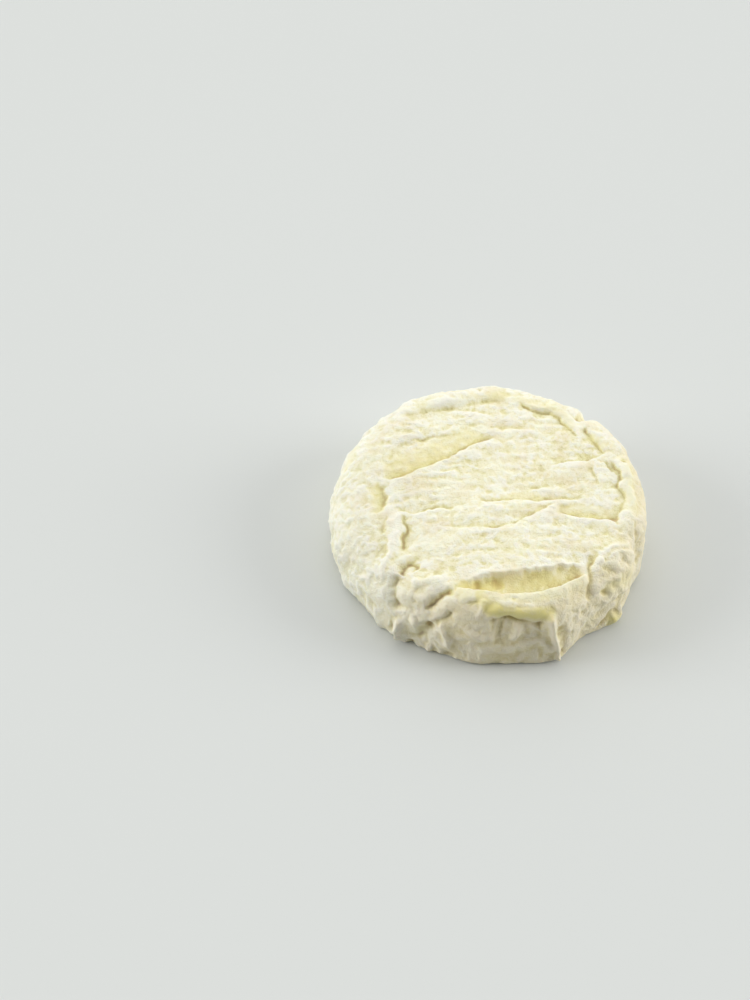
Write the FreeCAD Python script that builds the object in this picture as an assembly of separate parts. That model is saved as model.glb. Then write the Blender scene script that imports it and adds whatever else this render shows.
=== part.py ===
"""A picodon: one small ripened goat cheese, a low round wheel whose soft rind has slipped and folded.

Millimetres, +Z up. The origin is on the flat underside, at the middle of the wheel.
The rind is one smooth skin from the middle of the top face, over the shoulder and down the side to the
foot, where it meets the flat underside. It is worked out in two steps: a plain wheel from the sizes
around its outline, and then the folds, creases, dents and lumps that push that skin in or out.
"""

import FreeCAD
import Part
import math
import os

NODE = "cheese"

# Overall sizes
DIAMETER = 68.0  # nominal width of the wheel at its widest
HEIGHT = 18.0  # thickness at the middle of the top face

# The plain wheel's section
SIDE_ROUNDNESS = 0.62  # 1 is an ellipse below the waist, less is squarer
SHOULDER_ROUNDNESS = 0.85  # the same, above the waist
TOP_DISHING = 2.5  # power of the top face's rise from its middle to its rim

# The rind
FOLD_RELIEF = 1.0  # height of every fold, 1 is as measured
LUMP_HEIGHT = 0.30  # unevenness of the top face
SIDE_LUMP_HEIGHT = 0.55  # unevenness of the shoulder and side
FOOT_FADE = 2.6  # the relief dies out over this length above the foot
FINEST_WIDTH = 0.8  # no fold is modelled narrower than this

# The folds are placed on a wheel of this radius, and spread or close up with the real one
LAYOUT_RADIUS = 34.0

# The skin is one spline surface with this many poles along each way
POLES = 161
DEGREE = 3
SECTION_STEPS = 24

# The wheel's outline, by azimuth in degrees from +X towards +Y:
# (azimuth, reach past the nominal radius, undercut at the foot, rim above the middle, shoulder width,
#  height of the widest place as a share of the rim's)
OUTLINE = (
    (0, -0.5, 2.5, 0.2, 5.0, 0.47),
    (30, 0.2, 3.6, 0.9, 5.5, 0.47),
    (60, -0.2, 3.4, 0.9, 6.0, 0.47),
    (90, 0.0, 3.2, 0.9, 6.5, 0.47),
    (120, 0.3, 3.5, 1.1, 8.5, 0.46),
    (150, 0.1, 3.8, 0.3, 11.0, 0.46),
    (180, 0.0, 4.2, -1.3, 13.0, 0.45),
    (210, -1.3, 2.2, -2.4, 12.2, 0.42),
    (238, -1.9, 0.8, -2.2, 8.0, 0.40),
    (262, -1.9, 0.5, -1.3, 4.8, 0.38),
    (280, -1.4, 0.5, -1.2, 4.5, 0.36),
    (293, -0.4, 0.5, -1.2, 5.6, 0.34),
    (303, -1.5, 1.3, -1.2, 6.0, 0.42),
    (312, -1.6, 1.2, -1.2, 6.6, 0.46),
    (320, -0.6, 0.6, -1.0, 7.0, 0.40),
    (328, -0.7, 0.9, -0.9, 6.8, 0.40),
    (336, -1.3, 1.6, -0.7, 6.6, 0.44),
    (346, -0.3, 1.6, -0.3, 5.6, 0.45),
)


# Sections of a fold, as bumps across it: (offset, width on its right, width on its left, height), where
# left and right are seen along its path. A lap is skin slid over itself: a crest, then a sharp drop.
def lap(height, width):
    return ((-0.9, 2.0 * width, 0.55, 0.75 * height), (0.75, 0.55, 3.0 * width, -0.85 * height))


def seam(depth, width):
    return ((0.0, width, width, -depth), (-1.6 * width, width, width, 0.3 * depth))


def roll(height, width):
    return ((0.0, width, width, height),)


def dent(depth, width):
    return ((0.0, width, width, -depth),)


# Each fold: (section, fade at its two ends, path). A path of two places is a straight one.
TOP_FOLDS = (
    # The back rim: two creases, with the rolled rim beyond them
    (lap(-0.8, 0.9), 3.0, ((-16, 21.7), (-9, 22.9), (-2, 25.4), (5, 26.2))),
    (seam(0.8, 0.8), 2.0, ((8, 25.6), (11.8, 22.6), (16.4, 20), (19.8, 14.4))),
    (seam(0.7, 0.8), 1.5, ((21.2, 17.4), (23, 13), (25.2, 10))),
    (roll(0.9, 1.5), 2.5, ((9, 27.2), (14, 24.8), (18.5, 19.4))),
    (roll(0.7, 1.4), 2.0, ((22.4, 19), (25, 14.6), (27, 10.4))),
    (dent(1.4, 1.5), 1.5, ((19.6, 19.8), (23, 23.4), (28, 28))),
    # Laps that run across the face
    (lap(0.95, 1.0), 3.0, ((-21.8, 3.9), (-16.5, 5.2), (-10, 8.7), (-4, 12.2), (1.6, 15.6))),
    (lap(-0.5, 1.0), 2.5, ((-21.4, 9.5), (-17, 13.3), (-11, 15), (-5, 16))),
    (lap(0.55, 0.8), 4.0, ((12, 6.3), (17, 7.7), (22, 8.5), (25.8, 11))),
    (lap(0.55, 0.8), 3.5, ((-3, -3.2), (4, -2.6), (10, -2.8), (18, -2.3))),
    (lap(0.45, 0.8), 2.5, ((-20, -3.7), (-17, -5.1), (-12, -4.6), (-4, -3.8))),
    (lap(0.60, 0.9), 3.5, ((-2, -10.4), (3, -9.9), (7, -7.5), (10, -5.5), (14.5, -3.7))),
    (lap(0.75, 0.8), 2.0, ((13.2, -6.4), (18, -7), (22, -7.5), (26.4, -8.1))),
    # The right rim, and the hollow inside it
    (seam(0.8, 0.8), 2.0, ((25.8, 8.4), (27.5, 3.6), (26.9, 1), (27.6, -3), (26.2, -7), (25, -10))),
    (roll(0.9, 1.5), 3.0, ((28.6, 8.6), (29.6, 2), (29.2, -4), (27.4, -10))),
    (dent(0.6, 2.2), 2.0, ((17, -4.6), (24.6, -5.6))),
    # The left rim
    (seam(0.75, 0.8), 1.5, ((-22.8, 2.8), (-22, 0.8), (-21.7, -1), (-22.2, -3.2), (-23.2, -5))),
    (roll(0.7, 1.1), 2.0, ((-20.2, 2), (-20.1, -7), (-19.8, -14.6))),
    (seam(0.95, 0.8), 1.5, ((-19, -5.4), (-17.9, -9.4), (-18.3, -11.2), (-17.6, -14.6))),
)
RIM_FOLDS = (
    # The open fold along the front of the top face: the ridge behind it, its floor, and the lip before it
    (roll(0.7, 1.1), 2.5, ((-9.4, -23.4), (-5, -21.8), (-1, -20.6), (5, -19.9), (10, -19), (17.4, -18.2))),
    (dent(2.3, 1.5), 2.5, ((-7.5, -24.6), (-2, -24.3), (5, -23.8), (10, -22.9), (17, -20.6))),
    (roll(1.2, 1.3), 2.5, ((-8, -25.8), (-1, -27.4), (3, -27.7), (8, -27.1), (12, -25.9), (18, -22.4))),
    (roll(1.0, 1.9), 2.5, ((-1.6, -30.4), (1, -31.5), (6, -31.9), (11, -31))),
    # Front left: a knot of skin with a deep dent, and the creases that leave it
    (seam(1.5, 0.9), 1.0, ((-19.3, -20), (-17.8, -18.3), (-16.4, -17.9), (-15.2, -18.9))),
    (seam(1.0, 0.9), 1.5, ((-19.8, -19.6), (-21.3, -24.4), (-22.6, -28.2))),
    (roll(0.8, 1.3), 2.5, ((-20.6, -15.4), (-23.2, -20), (-24.6, -26.6))),
    (roll(1.0, 1.4), 2.5, ((-17.4, -22.8), (-13, -22.6), (-10, -23.4), (-7.8, -25.4))),
    (seam(1.6, 0.9), 1.2, ((-9.2, -25.4), (-12.6, -28.2), (-14.8, -29.6))),
    # Front right: the crease at the lip's end, and the lobe beyond it
    (seam(1.1, 0.8), 1.5, ((20.4, -17.2), (19.4, -20.6), (20.2, -23.6), (19.3, -25.8), (20, -28))),
    (roll(1.2, 2.6), 2.5, ((22.4, -22), (24.4, -18), (29, -15.4))),
)
SIDE_FOLDS = (
    # Front: a recess under the lip, a corner ridge, and a hollow on the ridge's right
    (dent(0.9, 1.3), 1.5, ((-2, -35.4), (2, -35), (6, -35.4), (10, -35.2))),
    (dent(0.6, 0.9), 0.8, ((9.6, -37.8), (11, -38.2))),
    (roll(1.0, 0.9), 2.5, ((11.2, -31.8), (11.7, -34), (12.8, -36), (14.8, -38.5), (17.2, -42))),
    (dent(1.0, 1.6), 2.0, ((13.8, -33), (15.6, -35.4), (17.6, -37.8))),
    # Front left
    (seam(0.9, 0.8), 1.0, ((-9.6, -31.8), (-11.6, -32.6), (-13.4, -32.9))),
    (seam(1.0, 0.8), 1.2, ((-14.2, -32.4), (-16.5, -33.8), (-19.4, -34.4))),
    (roll(0.8, 0.9), 1.5, ((-13.6, -33), (-12.6, -36), (-11.4, -38.6))),
    (dent(0.9, 1.2), 1.2, ((-25, -31), (-22.4, -32.4))),
    (dent(1.2, 1.3), 1.2, ((-22.6, -34.2), (-24.4, -36.4))),
    # Front right: slanting wrinkles, and a swelling by the floor
    (roll(0.7, 1.0), 1.5, ((24.6, -21.4), (27.6, -24), (31, -25.6))),
    (dent(0.8, 1.3), 1.5, ((23.6, -25.6), (27, -27), (30.4, -29))),
    (roll(0.9, 1.6), 1.5, ((31, -26), (33.4, -27.8))),
    (roll(0.6, 1.0), 2.0, ((30, -19), (33.6, -20.4), (36.8, -21.6))),
    (dent(1.2, 1.9), 1.5, ((33.5, -13.5), (36, -15.5), (39, -17.5))),
)

# Lumps of the rind: (wave vector across, along and up, in radians per millimetre, phase, share)
LUMPS = (
    ((0.52, 0.31, 0.22), 0.4, 0.9),
    ((-0.35, 0.58, 0.30), 2.1, 0.8),
    ((0.80, -0.42, 0.55), 1.3, 0.7),
    ((0.18, 0.95, -0.62), 4.0, 0.6),
    ((-1.10, 0.35, 0.80), 5.2, 0.5),
    ((0.90, 1.05, -0.45), 0.9, 0.45),
    ((1.35, -0.80, 0.95), 3.3, 0.35),
)


def smooth(share):
    """0 below 0, 1 above 1, and a smooth rise between."""
    share = min(1.0, max(0.0, share))
    return share * share * (3.0 - 2.0 * share)


def around(azimuth, column):
    """A column of OUTLINE at an azimuth in degrees, on a smooth closed curve through its rows."""
    count = len(OUTLINE)
    azimuth %= 360.0
    index = max(i for i in range(count) if OUTLINE[i][0] <= azimuth)

    def row(i):
        turns, place = divmod(i, count)
        return OUTLINE[place][0] + 360.0 * turns, OUTLINE[place][column]

    (a0, v0), (a1, v1), (a2, v2), (a3, v3) = (row(index + k) for k in (-1, 0, 1, 2))
    span = a2 - a1
    t = (azimuth - a1) / span
    slope1 = (v2 - v0) / (a2 - a0) * span
    slope2 = (v3 - v1) / (a3 - a1) * span
    return (
        (2 * t**3 - 3 * t**2 + 1) * v1
        + (t**3 - 2 * t**2 + t) * slope1
        + (3 * t**2 - 2 * t**3) * v2
        + (t**3 - t**2) * slope2
    )


def quarter(width, height, roundness):
    """Length of a quarter of a rounded box, measured in short steps."""
    total = 0.0
    last = (0.0, height)
    for i in range(1, SECTION_STEPS + 1):
        angle = 0.5 * math.pi * i / SECTION_STEPS
        here = (width * math.sin(angle) ** roundness, height * max(0.0, math.cos(angle)) ** roundness)
        total += math.dist(last, here)
        last = here
    return total


class Section:
    """The plain wheel's half section at one azimuth: top face, shoulder, and side down to the foot."""

    def __init__(self, azimuth):
        self.reach = 0.5 * DIAMETER + around(azimuth, 1)
        self.foot = self.reach - around(azimuth, 2)
        self.rim = HEIGHT + around(azimuth, 3)
        self.shoulder = around(azimuth, 4)
        self.waist = self.rim * around(azimuth, 5)
        self.face = self.reach - self.shoulder
        self.over = quarter(self.shoulder, self.rim - self.waist, SHOULDER_ROUNDNESS)
        self.down = quarter(self.waist, self.reach - self.foot, SIDE_ROUNDNESS)
        self.length = self.face + self.over + self.down

    def at(self, along):
        """Distance from the axis, and height, at a length along the skin from the middle of the top."""
        if along <= self.face:
            rise = (self.rim - HEIGHT) * (max(0.0, along) / self.face) ** TOP_DISHING
            return along, HEIGHT + rise
        if along <= self.face + self.over:
            angle = 0.5 * math.pi * (along - self.face) / self.over
            out = self.shoulder * math.sin(angle) ** SHOULDER_ROUNDNESS
            up = (self.rim - self.waist) * max(0.0, math.cos(angle)) ** SHOULDER_ROUNDNESS
            return self.face + out, self.waist + up
        angle = 0.5 * math.pi * min(1.0, (along - self.face - self.over) / self.down)
        out = (self.reach - self.foot) * max(0.0, math.cos(angle)) ** SIDE_ROUNDNESS
        return self.foot + out, self.waist * (1.0 - math.sin(angle) ** SIDE_ROUNDNESS)

    def outward(self, along):
        """The skin's outward direction, as its parts away from the axis and up."""
        step = 0.4
        r0, z0 = self.at(max(0.0, along - step))
        r1, z1 = self.at(min(self.length, along + step))
        size = math.hypot(r1 - r0, z1 - z0)
        return -(z1 - z0) / size, (r1 - r0) / size


def curved(path):
    """A smooth line through the places of a path, as short straight runs."""
    steps = 4
    line = []
    for i in range(len(path) - 1):
        before, start, end = path[max(0, i - 1)], path[i], path[i + 1]
        after = path[min(len(path) - 1, i + 2)]
        for k in range(steps):
            t = k / steps
            line.append(
                tuple(
                    0.5 * (2 * b + (c - a) * t + (2 * a - 5 * b + 4 * c - d) * t**2 + (3 * b - a - 3 * c + d) * t**3)
                    for a, b, c, d in zip(before, start, end, after)
                )
            )
    return line + [path[-1]]


class Fold:
    """One fold, which gives how far it pushes the skin out at a place on the unrolled rind."""

    REACH = 2.4  # a bump is left out past this many of its widths
    BLUNT = 0.5  # millimetres by which a fold outlasts its path

    def __init__(self, section, fade, path, scale):
        self.section = section
        self.fade = fade * scale
        self.line = curved([(x * scale, y * scale) for x, y in path])
        self.margin = max(abs(o) + self.REACH * max(a, b, FINEST_WIDTH) for o, a, b, _ in section)
        self.low = [min(p[k] for p in self.line) - self.margin for k in (0, 1)]
        self.high = [max(p[k] for p in self.line) + self.margin for k in (0, 1)]
        self.length = sum(math.dist(a, b) for a, b in zip(self.line, self.line[1:]))

    def nearest(self, x, y):
        """Distance from the line, positive on its left, and the length along it, at its nearest place."""
        best = None
        travelled = 0.0
        for (ax, ay), (bx, by) in zip(self.line, self.line[1:]):
            dx, dy = bx - ax, by - ay
            run = math.hypot(dx, dy)
            share = min(1.0, max(0.0, ((x - ax) * dx + (y - ay) * dy) / (run * run)))
            gap = math.hypot(x - ax - share * dx, y - ay - share * dy)
            if best is None or gap < best[0]:
                left = dx * (y - ay) - dy * (x - ax) >= 0.0
                best = (gap, gap if left else -gap, travelled + share * run)
            travelled += run
        return best[1], best[2]

    def push(self, x, y):
        if not (self.low[0] < x < self.high[0] and self.low[1] < y < self.high[1]):
            return 0.0
        across, travelled = self.nearest(x, y)
        if abs(across) > self.margin:
            return 0.0
        ends = smooth((travelled + self.BLUNT) / self.fade)
        ends *= smooth((self.length - travelled + self.BLUNT) / self.fade)
        total = 0.0
        for offset, right, left, height in self.section:
            width = max(FINEST_WIDTH, left if across > offset else right)
            total += height * math.exp(-(((across - offset) / width) ** 2))
        return total * ends


def lumps(x, y, z):
    """Unevenness of the rind at a place in space, about -1 to 1."""
    total = sum(share * math.sin(k[0] * x + k[1] * y + k[2] * z + phase) for k, phase, share in LUMPS)
    return total / sum(share for _, _, share in LUMPS)


def skin_point(section, azimuth, along, folds):
    """A place on the finished rind."""
    angle = math.radians(azimuth)
    r, z = section.at(along)
    out, up = section.outward(along)
    x, y = r * math.cos(angle), r * math.sin(angle)
    push = FOLD_RELIEF * sum(f.push(along * math.cos(angle), along * math.sin(angle)) for f in folds)
    side = smooth((along - section.face) / section.shoulder)
    push += (LUMP_HEIGHT + (SIDE_LUMP_HEIGHT - LUMP_HEIGHT) * side) * lumps(x, y, z)
    push *= smooth((section.length - along) / FOOT_FADE)
    r += push * out
    return FreeCAD.Vector(r * math.cos(angle), r * math.sin(angle), max(0.0, z + push * up))


def rind_surface():
    """The rind as one spline surface. A square net is laid over the round skin without a pole or seam."""
    scale = 0.5 * DIAMETER / LAYOUT_RADIUS
    folds = [Fold(section, fade, path, scale) for section, fade, path in TOP_FOLDS + RIM_FOLDS + SIDE_FOLDS]
    net = []
    for i in range(POLES):
        s = -1.0 + 2.0 * i / (POLES - 1)
        row = []
        for j in range(POLES):
            t = -1.0 + 2.0 * j / (POLES - 1)
            across, back = s * math.sqrt(1.0 - 0.5 * t * t), t * math.sqrt(1.0 - 0.5 * s * s)
            azimuth = math.degrees(math.atan2(back, across))
            section = Section(azimuth)
            row.append(skin_point(section, azimuth, min(1.0, math.hypot(across, back)) * section.length, folds))
        net.append(row)
    spans = POLES - DEGREE
    knots = [i / spans for i in range(spans + 1)]
    repeats = [DEGREE + 1] + [1] * (spans - 1) + [DEGREE + 1]
    surface = Part.BSplineSurface()
    surface.buildFromPolesMultsKnots(net, repeats, repeats, knots, knots, False, False, DEGREE, DEGREE)
    return surface


def cheese():
    """The wheel as one closed solid: the rind, and the flat underside that it ends on."""
    rind = rind_surface().toShape().Faces[0]
    underside = Part.Face(Part.Wire(Part.__sortEdges__(rind.Edges)))
    solid = Part.Solid(Part.Shell([rind, underside]))
    if solid.Volume < 0.0:
        solid.reverse()
    return solid


os.makedirs("parts", exist_ok=True)
wheel = cheese()
wheel.exportStep(os.path.join("parts", NODE + ".step"))
box = wheel.BoundBox
print(NODE, "valid", wheel.isValid(), "volume", round(wheel.Volume, 1), "mm3")
print("x", round(box.XMin, 2), round(box.XMax, 2), "y", round(box.YMin, 2), round(box.YMax, 2), "z", round(box.ZMin, 3), round(box.ZMax, 2))
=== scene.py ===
"""The looks of a small ripened goat cheese: its folded rind as a fine mesh, its bloom, light and camera.

The tables are in millimetres, for a wheel as large as LAYOUT, and the finished rind is fitted to the frame.
Places on the rind are given on the unrolled skin: x to the right and y to the back, where the distance
from the middle is the length along the skin from the middle of the top face, over the rim and down.
"""

import math
from itertools import product

import bpy
import numpy as np
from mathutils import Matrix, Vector


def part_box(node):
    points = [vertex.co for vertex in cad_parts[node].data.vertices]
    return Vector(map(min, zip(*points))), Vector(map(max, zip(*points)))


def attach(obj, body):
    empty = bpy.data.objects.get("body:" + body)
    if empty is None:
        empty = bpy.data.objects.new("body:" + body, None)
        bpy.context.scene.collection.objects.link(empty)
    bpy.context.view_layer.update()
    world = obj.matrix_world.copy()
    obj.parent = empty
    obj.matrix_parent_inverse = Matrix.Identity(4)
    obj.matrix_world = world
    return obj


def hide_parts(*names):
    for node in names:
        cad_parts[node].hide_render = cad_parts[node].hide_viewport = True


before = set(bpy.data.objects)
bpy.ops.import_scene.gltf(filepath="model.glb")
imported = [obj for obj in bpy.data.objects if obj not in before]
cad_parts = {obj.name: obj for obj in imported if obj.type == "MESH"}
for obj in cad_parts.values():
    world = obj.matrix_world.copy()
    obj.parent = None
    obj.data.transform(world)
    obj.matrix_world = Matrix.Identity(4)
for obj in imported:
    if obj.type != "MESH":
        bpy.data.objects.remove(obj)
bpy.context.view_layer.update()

MM = 0.001
NODE = "cheese"
LAYOUT = (67.97, 66.45, 19.87)  # the wheel's width, depth and height that the tables are for

# ---- The plain wheel -------------------------------------------------------------------------------

RADIUS = 34.0  # nominal, OUTLINE adds to it
HEIGHT = 18.0  # at the middle of the top face
SIDE_ROUNDNESS = 0.62  # 1 is an ellipse below the waist, less is squarer
SHOULDER_ROUNDNESS = 0.85  # the same, above the waist
TOP_DISHING = 2.5  # power of the top face's rise from its middle to its rim
FOOT_FADE = 2.6  # the relief dies out over this length above the foot
FOOT_TUCK = 1.0  # how far the skin turns in under itself at the foot
TUCK_HEIGHT = 1.3  # over this length above the foot

# (azimuth, reach past RADIUS, undercut at the foot, rim above HEIGHT, shoulder width,
#  height of the widest place as a share of the rim's)
OUTLINE = (
    (0, -0.5, 2.5, 0.2, 5.0, 0.47),
    (30, 0.2, 3.6, 0.9, 5.5, 0.47),
    (60, -0.2, 3.4, 0.9, 6.0, 0.47),
    (90, 0.0, 3.2, 0.9, 6.5, 0.47),
    (120, 0.3, 3.5, 1.1, 8.5, 0.46),
    (150, 0.1, 3.8, 0.3, 11.0, 0.46),
    (180, 0.0, 4.2, -1.3, 13.0, 0.45),
    (210, -1.3, 2.2, -2.4, 12.2, 0.42),
    (238, -1.9, 0.8, -2.2, 8.0, 0.40),
    (262, -1.9, 0.5, -1.3, 4.8, 0.38),
    (280, -1.4, 0.5, -1.2, 4.5, 0.36),
    (293, -0.4, 0.5, -1.2, 5.6, 0.34),
    (303, -1.5, 1.3, -1.2, 6.0, 0.42),
    (312, -1.6, 1.2, -1.2, 6.6, 0.46),
    (320, -0.6, 0.6, -1.0, 7.0, 0.40),
    (328, -0.7, 0.9, -0.9, 6.8, 0.40),
    (336, -1.3, 1.6, -0.7, 6.6, 0.44),
    (346, -0.3, 1.6, -0.3, 5.6, 0.45),
)

# The net of points that the rind is made from
SECTORS = 6
EVEN_RINGS = 122  # ring k has k points in each sector up to here, and then all have as many
RINGS = 188
UNDER_RINGS = 25
UNDER_REACH = 0.985  # the outermost ring of the underside, as a share of the way to the foot
QUARTER_STEPS = 25


def smooth(share):
    """0 below 0, 1 above 1, and a smooth rise between."""
    share = np.clip(share, 0.0, 1.0)
    return share * share * (3.0 - 2.0 * share)


def around(azimuth, column):
    """A column of OUTLINE at azimuths in degrees, on a smooth closed curve through its rows."""
    rows = np.array(OUTLINE)
    angle = np.concatenate([rows[-2:, 0] - 360.0, rows[:, 0], rows[:2, 0] + 360.0])
    value = np.concatenate([rows[-2:, column], rows[:, column], rows[:2, column]])
    slope = np.zeros_like(value)
    slope[1:-1] = (value[2:] - value[:-2]) / (angle[2:] - angle[:-2])
    i = np.searchsorted(angle, azimuth, side="right") - 1
    span = angle[i + 1] - angle[i]
    t = (azimuth - angle[i]) / span
    return (
        (2 * t**3 - 3 * t**2 + 1) * value[i]
        + (t**3 - 2 * t**2 + t) * slope[i] * span
        + (3 * t**2 - 2 * t**3) * value[i + 1]
        + (t**3 - t**2) * slope[i + 1] * span
    )


def quarter(width, height, roundness):
    """Lengths of quarters of a rounded box."""
    angle = np.linspace(0.0, 0.5 * math.pi, QUARTER_STEPS)[:, None]
    out = width * np.sin(angle) ** roundness
    up = height * np.maximum(0.0, np.cos(angle)) ** roundness
    return np.hypot(np.diff(out, axis=0), np.diff(up, axis=0)).sum(0)


class Wheel:
    """The plain wheel's half sections at many azimuths, from the middle of the top to the foot."""

    def __init__(self, azimuth):
        self.reach = RADIUS + around(azimuth, 1)
        self.foot = self.reach - around(azimuth, 2)
        self.rim = HEIGHT + around(azimuth, 3)
        self.shoulder = around(azimuth, 4)
        self.waist = self.rim * around(azimuth, 5)
        self.face = self.reach - self.shoulder
        self.over = quarter(self.shoulder, self.rim - self.waist, SHOULDER_ROUNDNESS)
        self.down = quarter(self.waist, self.reach - self.foot, SIDE_ROUNDNESS)
        self.length = self.face + self.over + self.down

    def at(self, along):
        """Distance from the axis, and height, at lengths along the skin."""
        along = np.clip(along, 0.0, self.length)
        flat = HEIGHT + (self.rim - HEIGHT) * (along / self.face) ** TOP_DISHING
        bend = 0.5 * math.pi * np.clip((along - self.face) / self.over, 0.0, 1.0)
        bend_out = self.face + self.shoulder * np.sin(bend) ** SHOULDER_ROUNDNESS
        bend_up = self.waist + (self.rim - self.waist) * np.maximum(0.0, np.cos(bend)) ** SHOULDER_ROUNDNESS
        drop = 0.5 * math.pi * np.clip((along - self.face - self.over) / self.down, 0.0, 1.0)
        drop_out = self.foot + (self.reach - self.foot) * np.maximum(0.0, np.cos(drop)) ** SIDE_ROUNDNESS
        drop_up = self.waist * (1.0 - np.sin(drop) ** SIDE_ROUNDNESS)
        on_face = along <= self.face
        on_bend = along <= self.face + self.over
        out = np.where(on_face, along, np.where(on_bend, bend_out, drop_out))
        up = np.where(on_face, flat, np.where(on_bend, bend_up, drop_up))
        return out, up

    def outward(self, along):
        """The skin's outward direction, as its parts away from the axis and up."""
        step = 0.4
        r0, z0 = self.at(along - step)
        r1, z1 = self.at(along + step)
        size = np.hypot(r1 - r0, z1 - z0)
        return -(z1 - z0) / size, (r1 - r0) / size


def skin_net():
    """Azimuths and shares of the way down for the rind's points, and the triangles between them."""
    sizes = [SECTORS * min(k, EVEN_RINGS) for k in range(RINGS + 1)]
    azimuth = [np.zeros(1)]
    share = [np.zeros(1)]
    starts = [0, 1]
    for k in range(1, RINGS + 1):
        count = sizes[k]
        azimuth.append(np.arange(count) * 360.0 / count)
        share.append(np.full(count, k / RINGS))
        starts.append(starts[-1] + count)
    faces = []
    for k in range(1, RINGS + 1):
        count, inner_count = sizes[k], max(1, sizes[k - 1])
        i = np.arange(count)
        outer = starts[k] + i
        following = starts[k] + (i + 1) % count
        if k > EVEN_RINGS:
            inner = starts[k - 1] + i
            inner_following = starts[k - 1] + (i + 1) % count
            faces.append(np.stack([inner, outer, following], 1))
            faces.append(np.stack([inner, following, inner_following], 1))
            continue
        sector, place = i // k, i % k
        inner = starts[k - 1] + (sector * (k - 1) + place) % inner_count
        faces.append(np.stack([inner, outer, following], 1))
        i = i[place < k - 1]
        inner = starts[k - 1] + (i // k * (k - 1) + i % k) % inner_count
        inner_following = starts[k - 1] + (i // k * (k - 1) + i % k + 1) % inner_count
        faces.append(np.stack([inner, starts[k] + i + 1, inner_following], 1))
    return np.concatenate(azimuth), np.concatenate(share), np.concatenate(faces)


# ---- Folds -----------------------------------------------------------------------------------------
# Sections of a fold: how far it pushes the skin out at a distance across its path, which is positive on
# the left, seen along the path. Each comes with the distance past which it may be left out.

CREASE_SOFTNESS = 0.02  # in square millimetres, rounds the bottom of a crease
CREASE_SHIFT = 0.14  # takes the rounded distance back to about 0 there


def crease(depth, crest, run, back, reach):
    """A sharp crease. The skin is slid over itself on the right, and rises within `run` to a crest there that
    fades out over `back`. On the left it comes up from the crease over `reach`."""

    def push(across):
        near = np.sqrt(across**2 + CREASE_SOFTNESS) - CREASE_SHIFT
        fall = np.exp(-near / run)
        right = -depth * fall + crest * (1 - fall) * np.exp(-((near / back) ** 2))
        left = -depth * np.exp(-near / reach)
        return np.where(across < 0.0, right, left)

    return push, 3.5 * max(back, reach)


def roll(height, width):
    """A round ridge."""
    return lambda across: height * np.exp(-((across / width) ** 2)), 2.5 * width


def hollow(depth, width):
    """A round furrow."""
    return roll(-depth, width)


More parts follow.
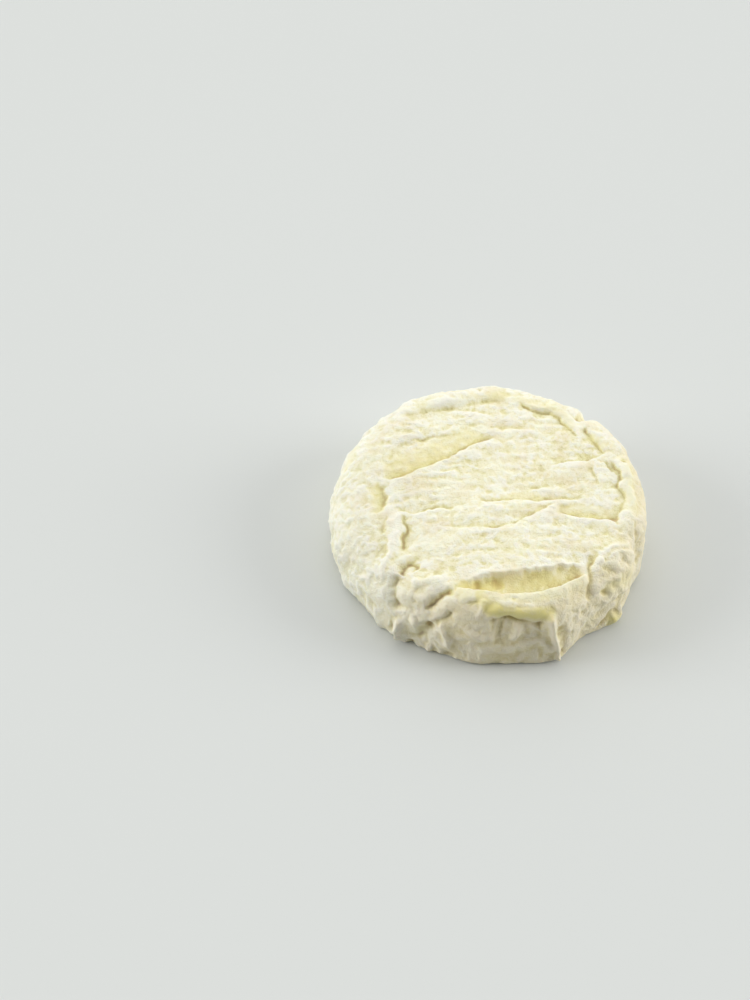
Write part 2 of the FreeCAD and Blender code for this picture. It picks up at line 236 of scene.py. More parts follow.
# Each fold: (section, fade at its two ends, path)
TOP_FOLDS = (
    # Back rim: the rolled rim stands over the face
    (crease(0.36, 0.42, 1.1, 3.6, 2.4), 4.0, ((6, 26), (-2, 25.4), (-9, 22.9), (-14, 21.9), (-19, 20))),
    (roll(0.35, 1.6), 4.0, ((3, 28.4), (-6, 27), (-14, 24))),
    (
        crease(0.48, 0.52, 0.6, 1.8, 1.2),
        2.0,
        ((19.8, 14.4), (16.4, 20), (14.8, 22), (11.8, 22.6), (7.6, 25.6)),
    ),
    (crease(0.50, 0.50, 0.6, 1.6, 1.2), 1.5, ((25.2, 10), (23, 13), (21.2, 17.4))),
    (hollow(1.7, 1.6), 1.5, ((19.6, 19.8), (23, 23.4), (28, 28))),
    (hollow(0.5, 0.7), 1.2, ((-0.6, 28), (-1.2, 31))),
    # Laps across the face, higher on the near side
    (
        crease(0.70, 0.50, 0.30, 3.6, 3.0),
        3.0,
        ((-21.8, 3.9), (-16.5, 5.2), (-10, 8.7), (-4, 12.2), (1.6, 15.6)),
    ),
    (crease(0.25, 0.45, 1.2, 2.4, 2.5), 3.0, ((-5, 16), (-11, 15), (-17, 13.3), (-21.4, 9.5))),
    (crease(0.18, 0.15, 0.3, 1.5, 1.2), 2.0, ((-18, 4.0), (-12, 4.5), (-7, 5.4))),
    (crease(0.28, 0.42, 0.35, 3.0, 2.0), 4.0, ((12, 6.3), (17, 7.7), (22, 8.5), (25.8, 11))),
    (crease(0.45, 0.32, 0.35, 2.4, 1.5), 3.5, ((-3, -3.2), (4, -2.6), (10, -2.8), (18, -2.3))),
    (crease(0.20, 0.16, 0.3, 1.2, 1.0), 1.5, ((7.6, 0.2), (10, 0.5), (12.8, 0.4))),
    (crease(0.15, 0.12, 0.3, 1.2, 1.0), 1.5, ((-1.4, 6.6), (0.2, 7.2), (2.2, 7.1))),
    (crease(0.30, 0.26, 0.35, 2.4, 1.5), 2.5, ((-20, -3.7), (-17, -5.1), (-12, -4.6), (-4, -3.8))),
    (crease(0.38, 0.45, 0.5, 3.6, 2.8), 3.5, ((-2, -10.4), (3, -9.9), (7, -7.5), (10, -5.5), (14.5, -3.7))),
    (crease(0.60, 0.45, 0.30, 2.4, 2.6), 2.0, ((13.2, -6.4), (18, -7), (22, -7.5), (26.4, -8.1))),
    (crease(0.22, 0.18, 0.4, 1.6, 1.5), 3.0, ((-12, -9.4), (-5, -9.9), (2, -10.1))),
    (crease(0.20, 0.18, 0.4, 1.6, 1.5), 3.0, ((-1, 17.8), (4, 17.9), (9, 17.3), (13, 17.9))),
    # Right rim: a thick roll, the crease inside it, and short folds where it meets the back one
    (
        crease(0.38, 0.50, 0.7, 2.1, 1.5),
        2.0,
        ((25, -10), (26.2, -7), (27.6, -3), (27.2, -0.8), (26.9, 1), (27.5, 3.6), (25.8, 8.4)),
    ),
    (roll(0.5, 1.4), 3.0, ((28.6, 8.6), (29.5, 2), (29.2, -4), (27.4, -9))),
    (crease(0.30, 0.25, 0.5, 1.2, 1.0), 1.2, ((22.7, 1), (22.4, 4), (21.9, 6.4))),
    (crease(0.40, 0.40, 0.5, 1.2, 1.0), 1.0, ((24.6, 7.6), (25.6, 5.4), (26.4, 4.2))),
    (hollow(0.7, 0.7), 1.0, ((28.5, 7.2), (28.9, 8.2))),
    (crease(0.35, 0.30, 0.5, 1.2, 1.0), 1.2, ((29.6, -8.6), (30.6, -10.6), (31.6, -12.4))),
    (hollow(0.7, 0.8), 1.0, ((31.6, -12.8), (33, -12.4))),
    # Left rim
    (
        crease(0.50, 0.35, 0.7, 1.8, 1.8),
        1.5,
        ((-23.2, -5), (-22.2, -3.2), (-21.7, -1), (-22, 0.8), (-22.8, 2.8)),
    ),
    (crease(0.40, 0.35, 0.7, 1.5, 1.2), 1.5, ((-21.9, -10), (-21.1, -7), (-21, -4.4))),
    (crease(0.65, 0.40, 0.7, 1.6, 1.1), 1.8, ((-19, -5.4), (-17.9, -9.4), (-18.3, -11.2), (-17.6, -14.6))),
    (roll(0.45, 0.9), 2.0, ((-20.2, -5), (-19.7, -9), (-20, -13), (-21.6, -16.6), (-23.4, -20.6))),
)
FRONT_FOLDS = (
    # Front left: a knot of skin, a lobe that hangs over a dent, and the lumps under it
    (crease(1.10, 0.45, 1.1, 1.7, 1.2), 0.9, ((-15.2, -18.9), (-16.4, -17.9), (-17.8, -18.3), (-19.3, -20))),
    (crease(1.35, 0.80, 1.1, 2.4, 1.5), 1.8, ((-19.8, -19.6), (-20.7, -22), (-21.3, -24.4), (-22.6, -28.2))),
    (crease(1.50, 1.90, 2.0, 3.4, 0.9), 1.4, ((-8.8, -25.2), (-11, -26.8), (-12.6, -28.2), (-15.2, -29.8))),
    (roll(0.9, 1.3), 2.0, ((-17.4, -22.8), (-13, -22.6), (-10, -23.2), (-7.8, -25))),
    (roll(0.5, 0.9), 1.5, ((-15.4, -25), (-15.2, -28))),
    (crease(0.40, 0.30, 0.8, 1.2, 1.0), 0.9, ((-3.4, -29.4), (-6.4, -28.9))),
    (crease(1.10, 1.00, 1.5, 2.4, 0.9), 1.2, ((-9.4, -31.6), (-11.6, -32.6), (-13.6, -33))),
    (crease(1.00, 1.10, 1.6, 2.6, 1.0), 1.4, ((-14.4, -32.6), (-16.5, -33.8), (-19.6, -34.6))),
    (hollow(1.2, 1.1), 0.8, ((-14.4, -33.2), (-16.2, -34.2))),
    (roll(0.8, 0.8), 1.5, ((-12.6, -32.8), (-12.2, -35.6), (-10.8, -38.6))),
    (roll(1.3, 1.3), 1.5, ((-17.4, -31.2), (-19.8, -32))),
    (roll(1.3, 1.6), 1.5, ((-22.4, -30), (-24.6, -33.4))),
    (hollow(1.0, 1.2), 1.2, ((-25.4, -29.6), (-23.4, -31.4))),
    (hollow(1.0, 1.1), 1.2, ((-21.4, -34.4), (-23.2, -37.4))),
    (roll(0.8, 1.8), 1.5, ((-18.6, -37.6), (-16.6, -39))),
    (hollow(0.5, 1.8), 1.5, ((-14.6, -40.2), (-10.6, -42))),
    # Front: the smooth belly under the lip, the recess below it, and the corner ridge
    (roll(1.0, 1.9), 2.5, ((-1.6, -30.4), (1, -31.5), (6, -31.9), (11, -31))),
    (roll(0.5, 0.6), 1.2, ((-2.8, -28.6), (-3.4, -31), (-4.4, -33.2))),
    (roll(0.2, 0.7), 2.5, ((-0.5, -29.2), (2.6, -30.2), (6, -30.4), (9.6, -29.8), (11.4, -28.8))),
    (hollow(0.3, 0.6), 0.6, ((2.6, -28.8), (3.8, -28.6))),
    (hollow(0.3, 0.6), 0.6, ((8, -28.2), (9.2, -28))),
    (crease(1.50, 0.30, 0.9, 1.6, 2.0), 1.5, ((10.6, -34.8), (6, -35), (2, -34.5), (-2, -35))),
    (roll(0.45, 0.6), 1.5, ((-8, -35.4), (-5.2, -37.3), (-2, -38.5))),
    (roll(0.45, 0.5), 1.5, ((-4.4, -40), (1, -40.5), (8, -39.8), (10.2, -38.8), (12.4, -39.6), (15, -39.6))),
    (roll(0.7, 1.0), 1.2, ((4.2, -34.6), (4.6, -37), (3.4, -39))),
    (hollow(0.9, 1.7), 1.0, ((-0.4, -36.2), (1.6, -36.8))),
    (hollow(0.35, 1.4), 1.0, ((6.6, -36.8), (8, -38))),
    (hollow(0.45, 0.8), 0.8, ((9.6, -37.7), (10.8, -38.1))),
    (hollow(0.45, 0.9), 0.8, ((11, -40.8), (12.4, -41))),
    (
        roll(1.1, 0.75),
        1.5,
        ((11.2, -31.8), (11.5, -34), (12.6, -36), (14.8, -38.5), (16.4, -40), (17.4, -42)),
    ),
    (hollow(0.8, 1.4), 2.0, ((13.8, -34), (15.8, -36.6), (17.8, -39.2), (19, -41))),
    (hollow(0.35, 0.7), 0.8, ((16.2, -31.2), (17.2, -30.8))),
    (hollow(0.35, 0.7), 0.8, ((19.2, -30.6), (20.2, -30.6))),
    (crease(0.60, 0.50, 0.8, 1.4, 1.0), 1.0, ((19.4, -35), (17.6, -36.2), (16.4, -36.2))),
    # Front right: the crease at the lip's end, the dome beyond it, and slanting wrinkles
    (
        crease(0.75, 0.60, 0.9, 1.6, 1.0),
        1.8,
        ((20.6, -27.8), (19.6, -25), (19.4, -22.4), (19, -20), (20.4, -17.2)),
    ),
    (roll(0.5, 0.8), 1.5, ((20.8, -19.6), (21.8, -16.6), (24.4, -14.9), (28.4, -13.7))),
    (roll(0.9, 3.6), 2.5, ((24, -20.6), (27.4, -18), (32, -17))),
    (hollow(0.8, 1.8), 1.5, ((32.5, -11.6), (35, -12.4), (38, -13.6))),
    (hollow(0.5, 0.6), 1.0, ((26.4, -17.2), (27.6, -18), (29.6, -18.4))),
    (hollow(0.35, 0.7), 1.0, ((24.8, -20.2), (27.4, -20.8))),
    (hollow(0.7, 0.9), 1.0, ((24, -24.4), (24.6, -26))),
    (roll(0.40, 0.7), 1.5, ((21.4, -25.4), (24, -22.6), (28, -21))),
    (roll(0.40, 0.8), 1.5, ((25.6, -25.6), (29.4, -23.4), (34, -22.4))),
    (roll(0.35, 0.6), 1.5, ((22.6, -17.8), (26, -16), (31, -15.2))),
    (roll(0.35, 0.6), 1.5, ((24.4, -26.8), (27.4, -26.6), (30, -24.8))),
    (hollow(0.40, 0.9), 1.5, ((22.4, -28.4), (26, -28.2), (29, -25.8), (33, -24.4))),
    (hollow(0.80, 0.7), 1.2, ((28.4, -31.6), (29.6, -29), (30.6, -27.2), (33, -26.2))),
    (roll(1.3, 1.7), 1.2, ((31.4, -29), (33.2, -27.6), (35, -26))),
)

# The open fold along the front of the face lies between a ridge and the lip before it, and the skin
# goes down into it from both lines.
RIDGE = (
    *((-9.4, -24.4), (-5, -23.1), (-1, -22.1), (5, -21.5)),
    *((10, -20.6), (14, -19.8), (17.4, -19.6), (19, -21.4)),
)
LIP = ((-9, -24.9), (-5, -26.1), (-1, -27), (3, -27.3), (8, -26.7), (12, -25.4), (16, -23.4), (19, -21.6))
OPEN_DEPTH = 2.5
OPEN_ENDS = (5.0, 2.5)  # it opens over these lengths from its left and right ends
OPEN_MARGIN = 0.2  # and starts this far outside them
OPEN_RUN = 1.5  # and deepens over this length from the ridge
LIP_HEIGHT = 0.9
LIP_WIDTH = 2.4
RIDGE_HEIGHT = 0.35
RIDGE_WIDTH = 1.2
POCKET_DEPTH = 0.7
POCKET_WIDTH = 0.9
OPEN_POCKETS = ((-3.8, -24.2), (0.2, -23.9))

CURVE_STEPS = 5  # points of a smooth line for each stretch of its path
END_MARGIN = 0.3  # the fade at a fold's ends starts this far outside them
FOLD_SWAY = 0.5  # how much of its height a fold gains or loses as it sways


def curved(path):
    """A smooth line through the places of a path."""
    path = np.array(path, float)
    line = []
    for i in range(len(path) - 1):
        a, b, c = path[max(0, i - 1)], path[i], path[i + 1]
        d = path[min(len(path) - 1, i + 2)]
        for t in np.arange(CURVE_STEPS) / CURVE_STEPS:
            line.append(
                0.5
                * (
                    2 * b
                    + (c - a) * t
                    + (2 * a - 5 * b + 4 * c - d) * t**2
                    + (3 * b - a - 3 * c + d) * t**3
                )
            )
    return np.array(line + [path[-1]])


def nearest(places, line):
    """Distance of places from a line, positive on its left, how far along it they are, and its length."""
    best = np.full(len(places), np.inf)
    across = np.zeros(len(places))
    travelled = np.zeros(len(places))
    passed = 0.0
    for a, b in zip(line[:-1], line[1:]):
        way = b - a
        run = math.hypot(*way)
        share = np.clip((places - a) @ way / run**2, 0.0, 1.0)
        off = places - a - share[:, None] * way
        gap = np.hypot(off[:, 0], off[:, 1])
        closer = gap < best
        side = np.where(way[0] * off[:, 1] - way[1] * off[:, 0] >= 0.0, 1.0, -1.0)
        best = np.where(closer, gap, best)
        across = np.where(closer, side * gap, across)
        travelled = np.where(closer, passed + share * run, travelled)
        passed += run
    return across, travelled, passed


def fold_relief(places, folds, sway):
    """How far folds push the skin out at places on the unrolled skin, more or less as it sways."""
    relief = np.zeros(len(places))
    for (section, margin), fade, path in folds:
        line = curved(path)
        near = np.all((places > line.min(0) - margin) & (places < line.max(0) + margin), axis=1)
        across, travelled, length = nearest(places[near], line)
        ends = smooth((travelled + END_MARGIN) / fade) * smooth((length - travelled + END_MARGIN) / fade)
        relief[near] += section(across) * ends * (1 + FOLD_SWAY * sway[near])
    return relief


def open_fold(places, sway):
    """How far the open fold pushes the skin, and how deep in it a place is, 0 to 1."""
    from_lip, along, length = nearest(places, curved(LIP))
    from_ridge, _, _ = nearest(places, curved(RIDGE))
    ends = smooth((along + OPEN_MARGIN) / OPEN_ENDS[0])
    ends = ends * smooth((length - along + OPEN_MARGIN) / OPEN_ENDS[1])
    from_ridge = from_ridge - 0.5 * sway
    beyond = np.maximum(0.0, -from_ridge)
    inside = smooth((from_lip - 0.05) / 0.7) * (1 - np.exp(-beyond / (OPEN_RUN + 0.6 * sway))) * ends
    lip = LIP_HEIGHT * np.exp(-((from_lip / LIP_WIDTH) ** 2)) * smooth((0.5 - from_lip) / 0.6) * ends
    ridge = RIDGE_HEIGHT * np.exp(-np.abs(from_ridge) / RIDGE_WIDTH) * smooth(from_lip / 1.5) * ends
    relief = lip + ridge - OPEN_DEPTH * inside
    for pocket in OPEN_POCKETS:
        away = np.hypot(*(places - pocket).T)
        relief -= POCKET_DEPTH * np.exp(-((away / POCKET_WIDTH) ** 2))
    return relief, inside


# Places where the bloom is thin and the yellow skin shows: (strength, half width, path)
PATCHES = (
    (0.30, 2.2, ((-8, -25.4), (-1, -27.6), (8, -27.2), (16, -24))),
    (0.20, 2.0, ((29.6, 8), (30, 2), (29, -5))),
    (1.0, 1.7, ((-1, -31), (1, -32.4), (4, -32.8), (8, -32.5), (10, -31.8))),
    (0.8, 1.4, ((-3.4, -27.6), (-2.2, -30), (-1, -32))),
    (0.6, 0.9, ((-7, -24.2), (-3, -24.4), (1, -24))),
    (0.30, 1.8, ((0, -23.6), (8, -22.8), (12, -21.8))),
    (0.42, 3.0, ((-19, 6.5), (-14, 8.5), (-9, 12.5), (-4, 14.5))),
    (0.40, 1.2, ((1.6, 27), (4.4, 27.4))),
    (0.32, 1.3, ((8, 26), (12, 24.6), (15.8, 22.6), (18.4, 18))),
    (0.45, 1.1, ((22.8, 14.2), (24.6, 12))),
    (0.32, 0.7, ((2.5, -1.8), (6, -1.7), (10, -1.8))),
    (0.35, 1.1, ((-23, 2), (-22.8, -3.8))),
    (0.25, 1.4, ((16, -5.4), (24, -6.4))),
    (0.75, 1.7, ((31.8, -29), (34.6, -27.4))),
    (0.30, 1.5, ((-29, 14), (-31, 9))),
    (0.25, 1.5, ((-38, -6), (-37, -10))),
    (0.30, 2.0, ((25, -24), (30, -21), (33, -18))),
)


def patches(places):
    """How bare the skin is at places on the unrolled skin, 0 to 1."""
    bare = np.zeros(len(places))
    for strength, width, path in PATCHES:
        line = curved(path)
        near = np.all((places > line.min(0) - 3 * width) & (places < line.max(0) + 3 * width), axis=1)
        across, _, _ = nearest(places[near], line)
        bare[near] = np.maximum(bare[near], strength * np.exp(-((across / width) ** 4)))
    return bare


# ---- Noise -----------------------------------------------------------------------------------------

BLOCK = 24  # the noise repeats after this many lumps
NOISE_RANGE = 1.6  # brings it to about -1 to 1
_slopes = np.random.RandomState(5).normal(size=(BLOCK, BLOCK, BLOCK, 3))
_slopes /= np.linalg.norm(_slopes, axis=-1, keepdims=True)


def noise(points, size, shift):
    """Smooth noise at points in space, about -1 to 1, with lumps about `size` across, which may be three
    sizes along x, y and z. Each shift gives another noise."""
    place = points / np.array(size, float) + shift
    cell = np.floor(place).astype(int)
    inside = place - cell
    blend = inside**3 * (inside * (inside * 6 - 15) + 10)
    total = np.zeros(len(points))
    for corner in product((0, 1), repeat=3):
        corner = np.array(corner)
        x, y, z = ((cell + corner) % BLOCK).T
        weight = np.prod(np.where(corner, blend, 1 - blend), axis=1)
        total += weight * np.einsum("ij,ij->i", _slopes[x, y, z], inside - corner)
    return NOISE_RANGE * total


# ---- The rind --------------------------------------------------------------------------------------

# Heights of the unevenness between the folds, and how much more of it the side has
SWELL = 0.30
TOP_WRINKLES = 0.20
SIDE_LUMPS = 0.50
CRUMPLES = 0.26
SIDE_CRUMPLES = 0.18
PIMPLES = 0.09
SIDE_PIMPLES = 0.09
GRAIN = 0.06
OPEN_CALM = 0.7  # share of it that is missing inside the open fold
BARE_CALM = 0.85  # and where the skin is bare

# The side is smoother towards here, and painted in a darker beige shade, as it stands in shade there; given
# as x and y
SHADE_WAY = (0.7, -0.6)

# How far round a point its hollowness is measured, in rounds of evening out, and how deep counts as 1
HOLLOWS = ((6, 0.12), (30, 0.35), (120, 0.9))
OWN_SHARE = 0.3  # of a point's own value in a round of evening out


def neighbours_mean(values, faces, rounds):
    """Values evened out over neighbouring points."""
    a = np.concatenate([faces[:, 0], faces[:, 1], faces[:, 2]])
    b = np.concatenate([faces[:, 1], faces[:, 2], faces[:, 0]])
    ways = np.concatenate([a, b]), np.concatenate([b, a])
    count = np.bincount(ways[0], minlength=len(values))
    for _ in range(rounds):
        around_it = np.bincount(ways[0], weights=values[ways[1]], minlength=len(values))
        values = OWN_SHARE * values + (1 - OWN_SHARE) * around_it / count
    return values


def unevenness(base, warp, side, shade_side):
    """Layers of the skin's rise and fall between its folds, from coarse to fine."""
    wrinkles = noise(base, (6.0, 1.9, 3.0), 0.7) + 0.4 * noise(base, (3.0, 1.3, 3.0), 3.9)
    yield TOP_WRINKLES * (1 - side) * wrinkles
    lumps = noise(base, (4.6, 4.6, 5.4), 5.5) + 0.5 * noise(base, (2.2, 2.2, 3.0), 7.1)
    yield SIDE_LUMPS * side * (1 - 0.35 * shade_side) * lumps
    crumples = 0.5 - np.abs(noise(base + 0.9 * np.pad(warp, ((0, 0), (0, 1))), (2.4, 1.9, 2.4), 2.9))
    crumples *= smooth(0.7 + 0.9 * noise(base, 7.0, 4.9))
    yield (CRUMPLES + SIDE_CRUMPLES * side * (1 - 0.7 * shade_side)) * crumples
    yield (PIMPLES + SIDE_PIMPLES * side * (1 - 0.5 * shade_side)) * noise(base, 1.3, 6.1)
    yield GRAIN * noise(base, 0.75, 8.3)


def rind():
    """The rind's points in millimetres, its triangles, and what its colour depends on at each point, which
    places the painted shade of the hollows and of the front right side, and the partly painted light of the
    other sides.
    """
    azimuth, share, faces = skin_net()
    wheel = Wheel(azimuth)
    along = share * wheel.length
    angle = np.radians(azimuth)
    out, up = wheel.at(along)
    out_way, up_way = wheel.outward(along)
    base = np.stack([out * np.cos(angle), out * np.sin(angle), up], 1)
    flat = along[:, None] * np.stack([np.cos(angle), np.sin(angle)], 1)

    # The folds run a little crooked
    warp = np.stack([noise(base, 5.0, 3.3), noise(base, 5.0, 7.7)], 1)
    warp += 0.6 * np.stack([noise(base, 1.7, 1.3), noise(base, 1.7, 9.1)], 1)
    relief = fold_relief(flat + 0.5 * warp, TOP_FOLDS + FRONT_FOLDS, noise(base, 4.0, 6.6))
    opened, inside = open_fold(flat + 0.4 * warp, noise(base, (1.3, 3.0, 3.0), 5.2))
    relief += opened

    side = smooth((along - wheel.face) / wheel.shoulder)
    # How much a place lies towards the shaded front right side, where the colour gets painted beige shade
    shade_side = smooth(0.5 + SHADE_WAY[1] * np.sin(angle) + SHADE_WAY[0] * np.cos(angle))
    bare = patches(flat + 0.5 * warp)
    calm = (1 - OPEN_CALM * inside) * (1 - BARE_CALM * smooth(2 * bare - 0.6))
    relief += SWELL * noise(base, 9.0, 2.2) * (1 + side)
    for layer in unevenness(base, warp, side, shade_side):
        relief += layer * calm
    relief *= smooth((wheel.length - along) / FOOT_FADE)

    hollowness = np.zeros(len(relief))
    for rounds, full in HOLLOWS:
        hollowness += (neighbours_mean(relief, faces, rounds) - relief) / full
    tuck = FOOT_TUCK * np.exp(-(((wheel.length - along) / TUCK_HEIGHT) ** 2))
    base[:, 0] += (relief * out_way - tuck) * np.cos(angle)
    base[:, 1] += (relief * out_way - tuck) * np.sin(angle)
    base[:, 2] = np.maximum(0.0, base[:, 2] + relief * up_way)
    # Colour weights: how hollow a point is, which brings in the yellow skin of the folds and painted crease
    # shade; the shaded front right side, painted a beige shade; and the other, lit sides, whiter partly as
    # painted light
    looks = {"hollow": hollowness, "bare": bare, "shade_side": side * shade_side, "lit_side": side * (1 - shade_side)}
    return base, faces, looks


def underside(rim, first):
    """Points and triangles that close the wheel under the foot, as a coarser net that its rim opens into."""
    many = len(rim)
    few = SECTORS * UNDER_RINGS
    step = many / few
    points = []
    starts = []
    for k in range(UNDER_RINGS, 0, -1):
        starts.append(first + len(points))
        share = UNDER_REACH * k / UNDER_RINGS
        for i in range(SECTORS * k):
            place = i * many / (SECTORS * k)
            whole = int(place)
            part = place - whole
            edge = rim[whole % many] * (1 - part) + rim[(whole + 1) % many] * part
            points.append(edge * share)
    starts.append(first + len(points))
    points.append(np.zeros(3))
    faces = []
    start = first - many
    for i in range(many):
        inner = starts[0] + int(round(i / step)) % few
        inner_following = starts[0] + int(round((i + 1) / step)) % few
        faces.append((start + i, inner, start + (i + 1) % many))
        if inner != inner_following:
            faces.append((inner, inner_following, start + (i + 1) % many))
    for level, k in enumerate(range(UNDER_RINGS, 0, -1)):
        outer, inner_start, inner_count = starts[level], starts[level + 1], max(1, SECTORS * (k - 1))
        for i in range(SECTORS * k):
            sector, place = divmod(i, k)
            inner = inner_start + (sector * (k - 1) + place) % inner_count
            faces.append((outer + i, inner, outer + (i + 1) % (SECTORS * k)))
            if place < k - 1:
                inner_following = inner_start + (sector * (k - 1) + place + 1) % inner_count
                faces.append((outer + i + 1, inner, inner_following))
    return np.array(points), np.array(faces)


def cheese():
    """The whole skin as one closed mesh, fitted to the frame's box."""
    points, faces, looks = rind()
    rim = points[-SECTORS * EVEN_RINGS :]
    more_points, more_faces = underside(rim, len(points))
    low, high = (np.array(corner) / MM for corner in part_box(NODE))
    scale = (high - low) / np.array(LAYOUT)
    points = np.concatenate([points, more_points]) * scale * MM
    faces = np.concatenate([faces, more_faces])
    mesh = bpy.data.meshes.new("goat_cheese")
    mesh.from_pydata(points, [], faces.tolist())
    mesh.validate()
    mesh.polygons.foreach_set("use_smooth", np.ones(len(mesh.polygons), bool))
    for name, values in looks.items():
        layer = mesh.attributes.new(name, "FLOAT", "POINT")
        layer.data.foreach_set("value", np.concatenate([values, np.zeros(len(more_points))]))
    mesh.update()
    piece = bpy.data.objects.new("goat_cheese", mesh)
    bpy.context.scene.collection.objects.link(piece)
    return piece


# ---- Materials -------------------------------------------------------------------------------------


class Nodes:
    """Makes the nodes of a material or a world."""

    def __init__(self, tree):
        self.tree = tree

    def node(self, kind, **inputs):
        made = self.tree.nodes.new("ShaderNode" + kind)
        for name, value in inputs.items():
            self.give(made.inputs[name.replace("_", " ")], value)
        return made

    def give(self, socket, value):
        """A link to a socket, or a value set on it."""
        if isinstance(value, bpy.types.NodeSocket):
            self.tree.links.new(value, socket)
        else:
            socket.default_value = value

    def spread(self, value, start, end, first=0.0, last=1.0):
        """From first to last as the value goes from start to end, in a straight line."""
        made = self.node("MapRange", Value=value, From_Min=start, From_Max=end, To_Min=first, To_Max=last)
        return made.outputs[0]

    def step(self, value, start, end, first=0.0, last=1.0):
        """The same as spread, in a smooth curve."""
        result = self.spread(value, start, end, first, last)
        result.node.interpolation_type = "SMOOTHSTEP"
        return result

    def maths(self, operation, a, b):
        made = self.node("Math")
        made.operation = operation
        self.give(made.inputs[0], a)
        self.give(made.inputs[1], b)
        return made.outputs[0]

    def plus(self, a, b):
        return self.maths("ADD", a, b)

    def minus(self, a, b):
        return self.maths("SUBTRACT", a, b)

    def times(self, a, b):
        return self.maths("MULTIPLY", a, b)

    def most(self, a, b):
        return self.maths("MAXIMUM", a, b)


class Recipe(Nodes):
    """A material's nodes."""

    def __init__(self, name):
        self.material = bpy.data.materials.new(name)
        self.material.use_nodes = True
        super().__init__(self.material.node_tree)
        self.shader = self.tree.nodes["Principled BSDF"]
        self.place = self.node("TexCoord").outputs["Object"]

    def noise(self, size, detail, shift=0.0, swirl=0.0):
        """Noise from 0 to 1, with lumps of a size in millimetres."""
        mapped = self.node("Mapping", Vector=self.place, Location=(shift, shift, shift))
        mapped.inputs["Scale"].default_value = [1.0 / (size * MM)] * 3
        made = self.node("TexNoise", Vector=mapped.outputs[0], Scale=1.0, Detail=detail, Roughness=0.55)
        made.inputs["Distortion"].default_value = swirl
        return made.outputs["Fac"]

    def attribute(self, name):
        made = self.node("Attribute")
        made.attribute_name = name
        return made.outputs["Fac"]

    def mix(self, amount, a, b):
        """Colour a, and b where the amount is 1."""
        made = self.node("Mix")
        made.data_type = "RGBA"
        self.give(made.inputs["Factor"], amount)
        self.give(made.inputs[6], a if isinstance(a, bpy.types.NodeSocket) else (*a, 1.0))
        self.give(made.inputs[7], b if isinstance(b, bpy.types.NodeSocket) else (*b, 1.0))
        return made.outputs[2]

    def settings(self, **values):
        """Values that are the same all over, on the shader's own sockets."""
        for name, value in values.items():
            self.shader.inputs[name.replace("_", " ")].default_value = value


def screen(red, green, blue):
    """A colour as a screen shows it, 0 to 255, as the shader's linear values."""
    shares = (red / 255, green / 255, blue / 255)
    return tuple(v / 12.92 if v <= 0.04045 else ((v + 0.055) / 1.055) ** 2.4 for v in shares)


WHITE_BLOOM = screen(247, 245, 222)
IVORY = screen(242, 237, 204)
YELLOW = screen(228, 221, 168)
# Yellow skin darkened with painted crease shade, for deep hollows
DEEP_YELLOW_AND_SHADE = screen(203, 190, 134)
# Painted beige shade for the shaded front right side, also used for rosy patches at random
BEIGE_SHADE_AND_TONE = screen(230, 214, 175)
# Whiter bloom for the lit sides, partly painted light
LIT_SIDE_BLOOM = screen(244, 244, 231)
FROST = screen(246, 244, 229)
# Tan: yellow skin with painted crease shade, for the deepest hollows
TAN_SHADE = screen(204, 180, 132)
BARE = screen(230, 220, 148)

# The rind is WHITE_BLOOM at its lowest tone, and takes on each of these as its tone goes between two values.
# The tone rises in hollows, so the yellow skin of the folds comes in there with painted crease shade, darkest
# in the deepest.
TONES = ((-1.0, 0.3, IVORY), (0.1, 1.6, YELLOW), (1.4, 3.5, DEEP_YELLOW_AND_SHADE), (2.2, 5.0, TAN_SHADE))

# How much each of these adds to the tone: painted shade in the low places of the fine bump, and blotches and
# clouds of colour at random
PIT_SHADE = 2.0
BLOTCHES = 3.0
CLOUDS = 2.4

# Most of each tint that lies over the tones: frost flecks, rosy patches, painted beige shade on the shaded
# front right side, and whiter bloom on the lit sides, which is partly painted light
MOST_FROST = 0.7
MOST_ROSY = 0.35
MOST_BEIGE_SHADE = 0.5
MOST_LIT_SIDE = 0.45

BLOOM_ROUGHNESS = 0.88
BARE_ROUGHNESS = 0.5
BLOOM_BUMP = 0.8
BARE_BUMP_LOSS = 0.6
BUMP_HEIGHT = 0.22 * MM


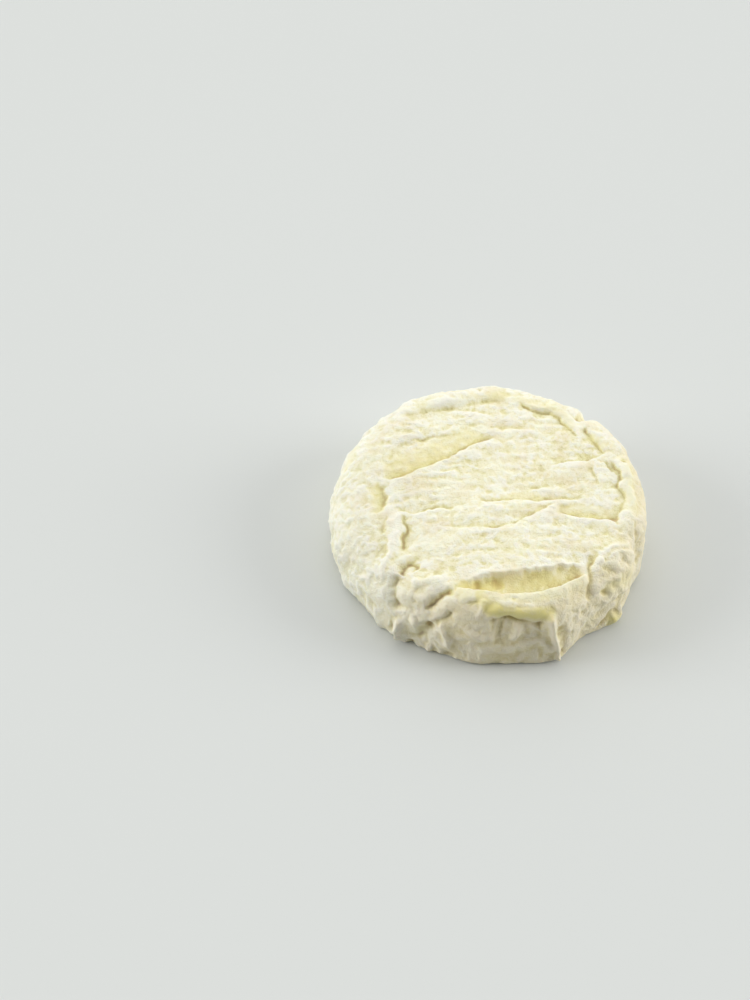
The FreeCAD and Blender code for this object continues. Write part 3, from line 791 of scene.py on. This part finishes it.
def rind_colour(r, fuzz, shade_side, bare):
    """The rind's colour: its tone, with painted shade in hollows and in the bump's low places, frost and
    tints on that, with painted beige shade on the shaded front right and partly painted light on the lit
    sides, and the bare yellow skin over all.
    """
    # Painted crease shade, with the yellow skin of the folds: the tone rises with hollowness, less on the
    # shaded front right
    depth = r.times(r.attribute("hollow"), r.minus(1.0, r.times(shade_side, 0.4)))
    # Painted shade in the low places of the fine bump
    pit_shade = r.times(r.minus(1.3, fuzz), PIT_SHADE)
    blotches = r.times(r.minus(r.noise(3.5, 3.0), 0.5), BLOTCHES)
    clouds = r.times(r.minus(r.noise(8.0, 2.0, shift=3.1), 0.5), CLOUDS)
    tone_and_shade = r.plus(r.plus(depth, clouds), r.plus(pit_shade, blotches))
    colour = WHITE_BLOOM
    for start, end, tint in TONES:
        colour = r.mix(r.step(tone_and_shade, start, end), colour, tint)
    # Frost flecks, fewer in hollows, which deepens the painted crease shade a little
    flecks = r.minus(r.noise(4.2, 4.0, shift=6.3, swirl=0.6), r.times(depth, 0.10))
    frost = r.times(r.step(flecks, 0.5, 0.64), r.minus(MOST_FROST, r.attribute("bare")))
    colour = r.mix(r.most(frost, 0.0), colour, FROST)
    rosy = r.times(r.step(r.noise(6.0, 3.0, shift=8.2), 0.48, 0.68), MOST_ROSY)
    # Painted beige shade on the shaded front right side, and rosy beige patches at random
    colour = r.mix(r.most(r.times(shade_side, MOST_BEIGE_SHADE), rosy), colour, BEIGE_SHADE_AND_TONE)
    # Whiter bloom on the lit sides: partly the bloom's own colour, partly painted light
    colour = r.mix(r.times(r.attribute("lit_side"), MOST_LIT_SIDE), colour, LIT_SIDE_BLOOM)
    return r.mix(bare, colour, BARE)


def rind_material():
    """Matte bloom with a soft nap, and smoother, glossier skin where it is bare."""
    r = Recipe("rind")
    wool = r.noise(0.75, 3.0, shift=4.4, swirl=1.2)
    fuzz = r.plus(r.noise(0.32, 3.0, shift=1.9), r.times(wool, 1.6))
    ragged = r.spread(r.noise(1.6, 3.0, shift=5.7), 0.3, 0.7, 0.6, 1.4)
    bare = r.maths("MINIMUM", r.times(r.attribute("bare"), ragged), 1.0)
    r.give(r.shader.inputs["Base Color"], rind_colour(r, fuzz, r.attribute("shade_side"), bare))
    r.give(r.shader.inputs["Roughness"], r.spread(bare, 0.0, 1.0, BLOOM_ROUGHNESS, BARE_ROUGHNESS))
    strength = r.minus(BLOOM_BUMP, r.times(bare, BARE_BUMP_LOSS))
    bump = r.node("Bump", Height=fuzz, Strength=strength, Distance=BUMP_HEIGHT)
    r.give(r.shader.inputs["Normal"], bump.outputs[0])
    r.settings(Specular_IOR_Level=0.35, Sheen_Weight=0.12, Sheen_Roughness=0.6)
    r.settings(Subsurface_Weight=0.25, Subsurface_Radius=(1.0, 0.8, 0.5), Subsurface_Scale=0.6 * MM)
    return r.material


def floor_material():
    r = Recipe("floor")
    r.settings(Base_Color=(0.66, 0.68, 0.66, 1.0), Roughness=0.7, Specular_IOR_Level=0.0)
    return r.material


piece = cheese()
piece.data.materials.append(rind_material())
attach(piece, "root")
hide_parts(NODE)

# ---- Floor, light and camera -----------------------------------------------------------------------

FLOOR_SIZE = 3.0
BACKDROP = (0.68, 0.70, 0.68, 1.0)
WHITE = (1.0, 1.0, 1.0, 1.0)

# (name, place, width, power)
LAMPS = (
    ("key", (-0.05, 0.20, 0.80), 0.60, 0.75),
    ("left", (-6.0, 0.0, 2.4), 3.6, 172.0),
    ("right", (6.0, 0.0, 2.4), 3.6, 188.0),
)

# Strength of the light from all round, at the front and from about the sides on, and the directions
# between which it changes, where -1 points to the front and 1 to the back
STRENGTHS = (0.06, 0.94)
CHANGE = (-0.78, 0.04)

scene = bpy.context.scene
bpy.ops.mesh.primitive_plane_add(size=FLOOR_SIZE, location=(0, 0, 0))
floor = bpy.context.object
floor.name = "floor"
floor.data.materials.append(floor_material())


def lamp(name, place, width, power):
    """A round lamp that shines at the origin and isn't seen itself."""
    data = bpy.data.lights.new(name, "AREA")
    data.shape = "DISK"
    data.size = width
    data.energy = power
    holder = bpy.data.objects.new(name, data)
    holder.location = place
    holder.rotation_euler = (Vector((0, 0, 0)) - Vector(place)).to_track_quat("-Z", "Y").to_euler()
    holder.visible_camera = False
    scene.collection.objects.link(holder)


def studio():
    """Soft light from all round, less of it from the front, and a pale even background to look at."""
    world = bpy.data.worlds.new("studio")
    world.use_nodes = True
    r = Nodes(world.node_tree)
    way = r.node("SeparateXYZ", Vector=r.node("TexCoord").outputs["Generated"])
    light = r.tree.nodes["Background"]
    r.give(light.inputs["Color"], WHITE)
    r.give(light.inputs["Strength"], r.step(way.outputs["Y"], *CHANGE, *STRENGTHS))
    backdrop = r.node("Background", Color=BACKDROP)
    rays = r.node("LightPath").outputs
    seen = r.most(rays["Is Camera Ray"], r.most(rays["Is Glossy Ray"], rays["Is Transmission Ray"]))
    shown = r.node("MixShader", Fac=seen)
    r.give(shown.inputs[1], light.outputs[0])
    r.give(shown.inputs[2], backdrop.outputs[0])
    r.give(r.tree.nodes["World Output"].inputs["Surface"], shown.outputs[0])
    return world


for settings in LAMPS:
    lamp(*settings)
scene.world = studio()

# The camera looks down at AIM, and is then raised a little along its own picture
ELEVATION = math.radians(48.0)
DISTANCE = 0.300
AIM = Vector((-24.2, 0.0, 9.0)) * MM
RISE = 3.75
camera_data = bpy.data.cameras.new("camera")
camera_data.sensor_width = 36.0
camera_data.lens = 50.35
camera = bpy.data.objects.new("camera", camera_data)
forward = Vector((0, math.cos(ELEVATION), -math.sin(ELEVATION)))
rise = Vector((0, math.sin(ELEVATION), math.cos(ELEVATION)))
camera.location = AIM - forward * DISTANCE + rise * RISE * MM
camera.rotation_euler = (math.pi / 2 - ELEVATION, 0, 0)
scene.collection.objects.link(camera)
scene.camera = camera

scene.view_settings.view_transform = "Standard"
